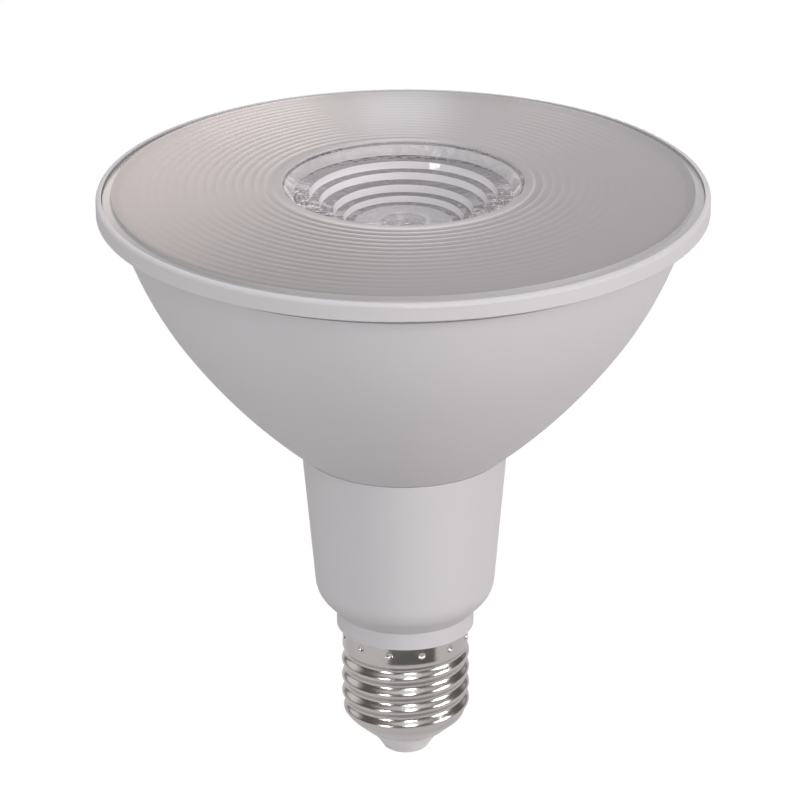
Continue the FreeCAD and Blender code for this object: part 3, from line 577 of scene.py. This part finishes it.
class SPOTLIGHT_OT_optic(bpy.types.Operator):
    """Build the clear optic with its stepped dish and faceted flank"""

    bl_idname = "spotlight.optic"
    bl_label = "Clear optic"

    def add_beads_and_painted_glints(self, tree, shader, colour, scale, sparkle, back):
        """Fine bead relief with painted glints: each bead is light or dark by chance in front, and towards
        the back they even out to one painted shade.
        """
        place = tree.nodes.new("ShaderNodeTexCoord").outputs["Object"]
        beads_and_glints = add_node(tree, "ShaderNodeTexVoronoi", Vector=place, Scale=scale)
        chance = add_node(tree, "ShaderNodeSeparateColor", Color=beads_and_glints.outputs["Color"])
        # Painted glints: each bead cell is made light or dark by chance.
        painted_glint = calculate(tree, "GREATER_THAN", chance.outputs["Red"], 0.55)
        # Towards the back, at positive Y, the painted glints fade into one even painted shade.
        depth = add_node(tree, "ShaderNodeSeparateXYZ", Vector=place).outputs["Y"]
        back_shade_mask = add_node(tree, "ShaderNodeMapRange", Value=depth, From_Min=0.0, From_Max=9.0 * MM)
        painted_glints_and_back_shade = add_node(tree, "ShaderNodeMix", Factor=back_shade_mask.outputs["Result"], A=painted_glint, B=back)
        shade = add_node(tree, "ShaderNodeMapRange", Value=painted_glints_and_back_shade.outputs["Result"], To_Min=1.0 - sparkle)
        link(tree, scale_colour(tree, colour, shade.outputs["Result"]), shader.inputs["Base Color"])
        add_bump(tree, shader, beads_and_glints.outputs["Distance"], 0.25 / scale)

    def plastic(self, name, colour, clearness, sizes, beads_and_glints):
        """Clear or frosted plastic, with bead relief and painted glints where their scale, sparkle and
        painted shade at the back are given.
        """
        material, tree, shader = new_material(name)
        set_plain(shader, Transmission_Weight=clearness, IOR=1.49)
        let_lamps_through(tree, shader, (0.93, 0.925, 0.93))
        surface = add_moulded_surface(tree, shader, colour, 0.03, sizes.clarity_roughness, 0.02)
        if beads_and_glints:
            self.add_beads_and_painted_glints(tree, shader, surface["Colour"], *beads_and_glints)
        return material

    def dish(self, sizes, top, flange_r):
        """Upper outline from the flange over the rim and down the steps to the middle."""
        flange_top = top - sizes.flange_drop
        z = top - sizes.slope_depth
        points = [(flange_r, flange_top), (sizes.rim_radius, flange_top), (sizes.rim_radius, top),
                  (sizes.bevel_radius, top - sizes.bevel_depth), (sizes.slope_radius, z)]
        for tread, riser in zip(sizes.tread_radii, sizes.riser_heights):
            z -= sizes.tread_fall
            points.append((tread, z))
            z -= riser
            points.append((tread - sizes.riser_lean, z))
        button_top = z + sizes.button_height
        return points + [(sizes.floor_ring, z), (sizes.button_radius, z),
                         (sizes.button_radius, button_top), (0.0, button_top)]

    def underside(self, sizes, foot, flange_r, flange_foot):
        """Lower outline from the roof of the well over the foot and up the flank to the flange."""
        roof = foot + sizes.well_depth
        points = [(0.0, roof + sizes.well_dome)]
        steps = 8
        for step in range(1, steps + 1):
            share = step / steps
            points.append((sizes.well_radius * share, roof + sizes.well_dome * (1 - share ** 2)))
        points.append((sizes.foot_inner, foot))
        points += arc_points((sizes.foot_outer, foot), (sizes.flank_radius, flange_foot),
                             -sizes.flank_bulge, 9)
        return points + [(flange_r, flange_foot)]

    def slot_name(self, face, sizes, flank_high):
        """Name of the plastic that a face of the optic has."""
        r = math.hypot(face.center.x, face.center.y)
        up = face.normal.z
        outward = face.normal.x * face.center.x + face.normal.y * face.center.y > 0
        first_tread = sizes.tread_radii[0]
        last_tread = sizes.tread_radii[-1]
        if outward and face.center.z < flank_high and up < 0.2 and r > sizes.foot_outer + 0.1 * MM:
            return "faceted_flank_painted_glints"
        if r < sizes.button_radius - 0.1 * MM and up > 0.5:
            return "stippled_acrylic_painted_glints"
        if sizes.floor_ring < r < sizes.slope_radius - 0.05 * MM and up > 0.8:
            return "tread_acrylic_painted_shade_and_glints"
        # The rim's bevel shares the treads' plastic and its painted shade, which draws a dark line round the
        # rim at the back.
        if sizes.bevel_radius < r < sizes.rim_radius + 0.05 * MM and up > 0.3:
            return "tread_acrylic_painted_shade_and_glints"
        if sizes.slope_radius - 0.05 * MM < r < sizes.bevel_radius and up > 0.3:
            return "frosted_slope_painted_glints"
        if last_tread - 0.35 * MM < r < first_tread + 0.1 * MM and up > -0.2:
            return "frosted_risers_painted_light"
        return "clear_acrylic"

    def execute(self, context):
        sizes = context.scene.spotlight_optic
        low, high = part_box("centre_optic")
        flange_foot = high.z - sizes.flange_drop - sizes.flange_wall
        outline = self.dish(sizes, high.z, high.x) + self.underside(sizes, low.z, high.x, flange_foot)
        flank_low = low.z + 0.6 * MM
        flank_high = flange_foot - 0.3 * MM
        sector = 2 * math.pi / sizes.facets

        def faceted(r, z, angle):
            """Radius with flats on the outer flank and everything else round."""
            below_line = z < low.z + (r - sizes.foot_outer + 0.8 * MM) * 1.3
            if r <= sizes.foot_outer - 0.1 * MM or not flank_low < z < flank_high or not below_line:
                return r
            return r * math.cos(sector / 2) / math.cos(angle % sector - sector / 2)

        optic = turn_outline("clear_optic", eased(outline, sizes.corner), sizes.facets * 8,
                             math.radians(40), faceted)
        slots = {}
        # Each row: name, colour, clearness, and the bead relief with painted glints as scale, sparkle and
        # painted shade at the back. The treads darken to a painted shade towards the back; slope, raised
        # middle and flank carry painted glints; the pale risers stand in, as painted light, for light from
        # inside the optic.
        for name, colour, clearness, beads_and_glints in (
                ("clear_acrylic", sizes.clear_colour, 0.94, None),
                ("tread_acrylic_painted_shade_and_glints", sizes.tread_colour, 0.90, (700.0, 0.70, 0.0)),
                ("frosted_slope_painted_glints", sizes.slope_colour, 0.45, (520.0, 0.38, 0.0)),
                ("stippled_acrylic_painted_glints", sizes.button_colour, 0.80, (1500.0, 0.45, 0.5)),
                ("frosted_risers_painted_light", sizes.riser_painted_light_colour, 0.40, None),
                ("faceted_flank_painted_glints", sizes.flank_painted_glint_colour, 0.20, (800.0, 0.90, 0.6))):
            slots[name] = len(slots)
            optic.data.materials.append(self.plastic(name, colour, clearness, sizes, beads_and_glints))
        for face in optic.data.polygons:
            name = self.slot_name(face, sizes, flank_high)
            face.material_index = slots[name]
            face.use_smooth = name != "faceted_flank_painted_glints"
        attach(optic, "root")
        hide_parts("centre_optic")
        return {"FINISHED"}


class SPOTLIGHT_OT_cap(bpy.types.Operator):
    """Finish the screw cap, its insulator and the centre contact"""

    bl_idname = "spotlight.cap"
    bl_label = "Screw cap"

    def execute(self, context):
        finish = context.scene.spotlight_cap
        give("cap_shell", metal_material("plated_cap", finish.colour, finish.roughness, roughness_drift=0.08))
        give("cap_insulator", moulded_material("cap_insulator", (0.92, 0.92, 0.94), 0.35, 0.6 * MM))
        give("centre_contact", metal_material("tinned_contact", (0.72, 0.70, 0.66), 0.32,
                                              0.8 * MM, 0.006 * MM))
        return {"FINISHED"}


class SPOTLIGHT_OT_light_source(bpy.types.Operator):
    """Finish the heat sink, the light source and its holder and screws"""

    bl_idname = "spotlight.light_source"
    bl_label = "Light source"

    def execute(self, context):
        give("heat_sink", moulded_material("pale_lacquer", (0.60, 0.59, 0.60), 0.40, 0.6 * MM, 0.006 * MM))
        give("thermal_pad", moulded_material("thermal_pad", (0.45, 0.47, 0.50), 0.8, 0.4 * MM))
        give("led_substrate", moulded_material("light_board", (0.74, 0.74, 0.72), 0.35, 0.5 * MM))
        give("led_phosphor", moulded_material("phosphor", (0.86, 0.66, 0.10), 0.45, 0.3 * MM, 0.01 * MM))
        give("led_holder", moulded_material("holder_plastic", (0.72, 0.72, 0.72), 0.4, 0.6 * MM))
        steel = metal_material("plated_screws", (0.62, 0.62, 0.63), 0.28, 0.2 * MM)
        for node in ("holder_screws", "plate_screws"):
            give(node, steel)
        return {"FINISHED"}


class SPOTLIGHT_OT_driver(bpy.types.Operator):
    """Finish the driver board, what stands on it and the wires"""

    bl_idname = "spotlight.driver"
    bl_label = "Driver"

    def execute(self, context):
        give("driver_board", moulded_material("board_laminate", (0.45, 0.36, 0.16), 0.45, 0.7 * MM))
        sleeve = moulded_material("capacitor_sleeve", (0.03, 0.035, 0.05), 0.32, 0.8 * MM)
        for node in ("input_capacitor", "output_capacitor"):
            give(node, sleeve)
        give("film_capacitor", moulded_material("dipped_resin", (0.55, 0.08, 0.03), 0.22,
                                                1.2 * MM, 0.02 * MM))
        give("transformer_core", moulded_material("ferrite", (0.045, 0.045, 0.05), 0.6, 0.3 * MM, 0.01 * MM))
        give("transformer_winding", moulded_material("winding_tape", (0.75, 0.55, 0.06), 0.3, 2.0 * MM))
        give("filter_choke", moulded_material("choke_winding", (0.32, 0.12, 0.05), 0.4, 0.4 * MM, 0.03 * MM))
        black = moulded_material("moulded_epoxy", (0.02, 0.02, 0.022), 0.55, 0.3 * MM, 0.008 * MM)
        for node in ("bridge_rectifier", "driver_chip"):
            give(node, black)
        give("fuse_resistor", moulded_material("resistor_paint", (0.25, 0.42, 0.22), 0.5, 0.6 * MM))
        jackets = {
            "live_wire": (0.25, 0.02, 0.02),
            "neutral_wire": (0.03, 0.03, 0.035),
            "led_wire_positive": (0.72, 0.70, 0.68),
            "led_wire_negative": (0.62, 0.62, 0.64),
        }
        for node, colour in jackets.items():
            give(node, moulded_material(node + "_jacket", colour, 0.4, 0.8 * MM))
        return {"FINISHED"}


# Studio

def direction(azimuth, elevation):
    """Unit vector away from the lamp, with azimuth 0 towards the camera and positive to its right."""
    a = math.radians(azimuth)
    e = math.radians(elevation)
    return Vector((math.sin(a) * math.cos(e), -math.cos(a) * math.cos(e), math.sin(e)))


def soft_box(name, azimuth, elevation, distance, width, height, watts, colour=WHITE[:3]):
    """Rectangular lamp at a distance from the middle of the lamp and turned towards it."""
    data = bpy.data.lights.new(name, "AREA")
    data.shape = "RECTANGLE"
    data.size = width
    data.size_y = height
    data.energy = watts
    data.color = colour
    box = bpy.data.objects.new(name, data)
    bpy.context.scene.collection.objects.link(box)
    away = direction(azimuth, elevation)
    box.location = MIDDLE + away * distance
    box.rotation_mode = "QUATERNION"
    box.rotation_quaternion = away.to_track_quat("Z", "Y")
    box.visible_camera = False


class SPOTLIGHT_OT_studio(bpy.types.Operator):
    """Set up the floor, the room, the soft boxes and the camera"""

    bl_idname = "spotlight.studio"
    bl_label = "Studio"

    def make_floor(self, settings):
        """Floor that keeps the lamp's shadow, is white to the camera and can't be seen from below."""
        reach = 6.0
        mesh = bpy.data.meshes.new("floor")
        mesh.from_pydata([(-reach, -reach, 0), (reach, -reach, 0), (reach, reach, 0), (-reach, reach, 0)],
                         [], [(0, 1, 2, 3)])
        floor = bpy.data.objects.new("floor", mesh)
        bpy.context.scene.collection.objects.link(floor)
        material, tree, _ = new_material("studio_floor")
        tree.nodes.clear()
        paths = tree.nodes.new("ShaderNodeLightPath").outputs
        matt = add_node(tree, "ShaderNodeBsdfDiffuse", Color=(*settings.floor_colour, 1.0))
        plain = add_node(tree, "ShaderNodeEmission", Color=WHITE, Strength=settings.backdrop_strength)
        seen = calculate(tree, "MULTIPLY", paths["Is Camera Ray"], settings.backdrop_share)
        mirrored = calculate(tree, "MAXIMUM", paths["Is Glossy Ray"], paths["Is Transmission Ray"])
        share = calculate(tree, "MULTIPLY_ADD", mirrored, settings.mirrored_share, seen)
        above = mix_shaders(tree, share, matt.outputs[0], plain.outputs[0])
        below = tree.nodes.new("ShaderNodeBsdfTransparent")
        side = tree.nodes.new("ShaderNodeNewGeometry").outputs["Backfacing"]
        out = tree.nodes.new("ShaderNodeOutputMaterial")
        link(tree, mix_shaders(tree, side, above, below.outputs[0]), out.inputs["Surface"])
        mesh.materials.append(material)

    def make_card(self, settings):
        """Dark card on the floor in front, which only the polished cap mirrors."""
        parts = 20
        turn = (settings.card_end - settings.card_start) / parts
        bends = [settings.card_start + turn * i for i in range(parts + 1)]
        verts = [(r * math.sin(a), -r * math.cos(a), 0.4 * MM)
                 for r in (settings.card_near, settings.card_far) for a in bends]
        faces = [(i, i + parts + 1, i + parts + 2, i + 1) for i in range(parts)]
        mesh = bpy.data.meshes.new("dark_card")
        mesh.from_pydata(verts, [], faces)
        mesh.materials.append(moulded_material("dark_card", settings.card_colour, 0.9))
        card = bpy.data.objects.new("dark_card", mesh)
        bpy.context.scene.collection.objects.link(card)
        card.visible_camera = False
        card.visible_diffuse = False
        card.visible_transmission = False
        card.visible_shadow = False

    def towards(self, tree, place, azimuth, elevation):
        """Cosine of the angle between the place in the room and a direction."""
        node = tree.nodes.new("ShaderNodeVectorMath")
        node.operation = "DOT_PRODUCT"
        link(tree, place, node.inputs[0])
        node.inputs[1].default_value = direction(azimuth, elevation)
        return node.outputs["Value"]

    def patch(self, tree, place, azimuth, elevation, start, end):
        """Round patch in a direction: 0 at the start angle in degrees and 1 at the end angle."""
        return smooth_step(tree, self.towards(tree, place, azimuth, elevation),
                           math.cos(math.radians(start)), math.cos(math.radians(end)))

    def make_room(self, settings):
        """Dark room with a pale wall and a warm patch behind the lamp, white where the camera sees it."""
        world = bpy.data.worlds.new("studio_room")
        bpy.context.scene.world = world
        world.use_nodes = True
        tree = world.node_tree
        tree.nodes.clear()
        place = tree.nodes.new("ShaderNodeTexCoord").outputs["Generated"]
        height = add_node(tree, "ShaderNodeSeparateXYZ", Vector=place).outputs["Z"]
        behind = smooth_step(tree, self.towards(tree, place, -166.0, 0.0), 0.20, 0.55)
        raised = smooth_step(tree, height, 0.06, 0.18)
        dark_spot = self.patch(tree, place, -173.0, 31.0, 3, 7)
        wall = calculate(tree, "MULTIPLY", calculate(tree, "MULTIPLY", raised, dark_spot), behind)
        room = mix_colours(tree, wall, (*settings.dark_room, 1.0), (*settings.pale_room, 1.0))
        warm_spot = self.patch(tree, place, -171.0, 18.0, 11, 3)
        room = mix_colours(tree, warm_spot, room, (*settings.blush, 1.0))
        overhead = smooth_step(tree, height, 0.58, 0.80)
        room = mix_colours(tree, overhead, room, (*settings.ceiling, 1.0))
        lit = add_node(tree, "ShaderNodeBackground", Color=room)
        white = add_node(tree, "ShaderNodeBackground", Color=WHITE)
        paths = tree.nodes.new("ShaderNodeLightPath").outputs
        out = tree.nodes.new("ShaderNodeOutputWorld")
        link(tree, mix_shaders(tree, paths["Is Camera Ray"], lit.outputs[0], white.outputs[0]),
             out.inputs["Surface"])

    def make_soft_boxes(self, power):
        """Three boxes that light the shell, and strips that draw the glints on cover and optic."""
        soft_box("left_box", -39.0, 15.0, 1.6, 0.36, 0.50, power * 0.73, (1.0, 0.99, 1.0))
        soft_box("right_box", 66.0, 17.0, 1.6, 0.66, 0.50, power * 1.56, (1.0, 0.96, 0.945))
        soft_box("front_box", 6.0, 32.0, 1.6, 0.38, 0.50, power * 0.5, (0.94, 0.97, 1.0))
        soft_box("back_strip", 180.0, 18.5, 1.8, 0.063, 0.24, power * 0.008, (0.90, 0.95, 1.0))
        soft_box("back_left_strip", -176.0, 12.0, 1.8, 0.11, 0.22, power * 0.011, (1.0, 0.91, 0.87))
        soft_box("back_right_strip", 175.5, 13.0, 1.8, 0.10, 0.18, power * 0.003, (1.0, 0.95, 0.92))
        soft_box("edge_strip", 10.0, 80.0, 1.6, 0.40, 0.05, power * 0.11)

    def make_camera(self, settings):
        data = bpy.data.cameras.new("camera")
        data.lens = settings.lens
        data.sensor_width = 36.0
        data.clip_start = 0.01
        data.clip_end = 50.0
        camera = bpy.data.objects.new("camera", data)
        bpy.context.scene.collection.objects.link(camera)
        away = direction(0.0, math.degrees(settings.elevation))
        aim = MIDDLE + Vector((settings.aside, 0.0, settings.above))
        camera.location = aim + away * settings.distance
        camera.rotation_mode = "QUATERNION"
        camera.rotation_quaternion = ((-away).to_track_quat("-Z", "Y")
                                      @ Quaternion((0.0, 0.0, 1.0), -settings.roll))
        bpy.context.scene.camera = camera

    def execute(self, context):
        settings = context.scene.spotlight_studio
        self.make_floor(settings)
        self.make_card(settings)
        self.make_room(settings)
        self.make_soft_boxes(settings.key_power)
        self.make_camera(settings)
        context.scene.view_settings.view_transform = "Standard"
        return {"FINISHED"}


class SPOTLIGHT_PT_panel(bpy.types.Panel):
    """Steps that dress the lamp"""

    bl_idname = "SPOTLIGHT_PT_panel"
    bl_label = "Reflector Spotlight"
    bl_space_type = "VIEW_3D"
    bl_region_type = "UI"
    bl_category = "Spotlight"

    def draw(self, context):
        for operator in OPERATORS:
            self.layout.operator(operator.bl_idname)


SETTINGS = {
    "spotlight_shell": ShellFinish,
    "spotlight_cover": CoverSizes,
    "spotlight_optic": OpticSizes,
    "spotlight_cap": CapFinish,
    "spotlight_studio": StudioSettings,
}
OPERATORS = (SPOTLIGHT_OT_shell, SPOTLIGHT_OT_cover, SPOTLIGHT_OT_optic, SPOTLIGHT_OT_cap,
             SPOTLIGHT_OT_light_source, SPOTLIGHT_OT_driver, SPOTLIGHT_OT_studio)


def register():
    for name, group in SETTINGS.items():
        bpy.utils.register_class(group)
        setattr(bpy.types.Scene, name, PointerProperty(type=group))
    for operator in OPERATORS:
        bpy.utils.register_class(operator)
    bpy.utils.register_class(SPOTLIGHT_PT_panel)


def unregister():
    bpy.utils.unregister_class(SPOTLIGHT_PT_panel)
    for operator in reversed(OPERATORS):
        bpy.utils.unregister_class(operator)
    for name, group in reversed(list(SETTINGS.items())):
        delattr(bpy.types.Scene, name)
        bpy.utils.unregister_class(group)


def main():
    register()
    for operator in OPERATORS:
        family, step = operator.bl_idname.split(".")
        getattr(getattr(bpy.ops, family), step)()


if __name__ == "__main__":
    main()
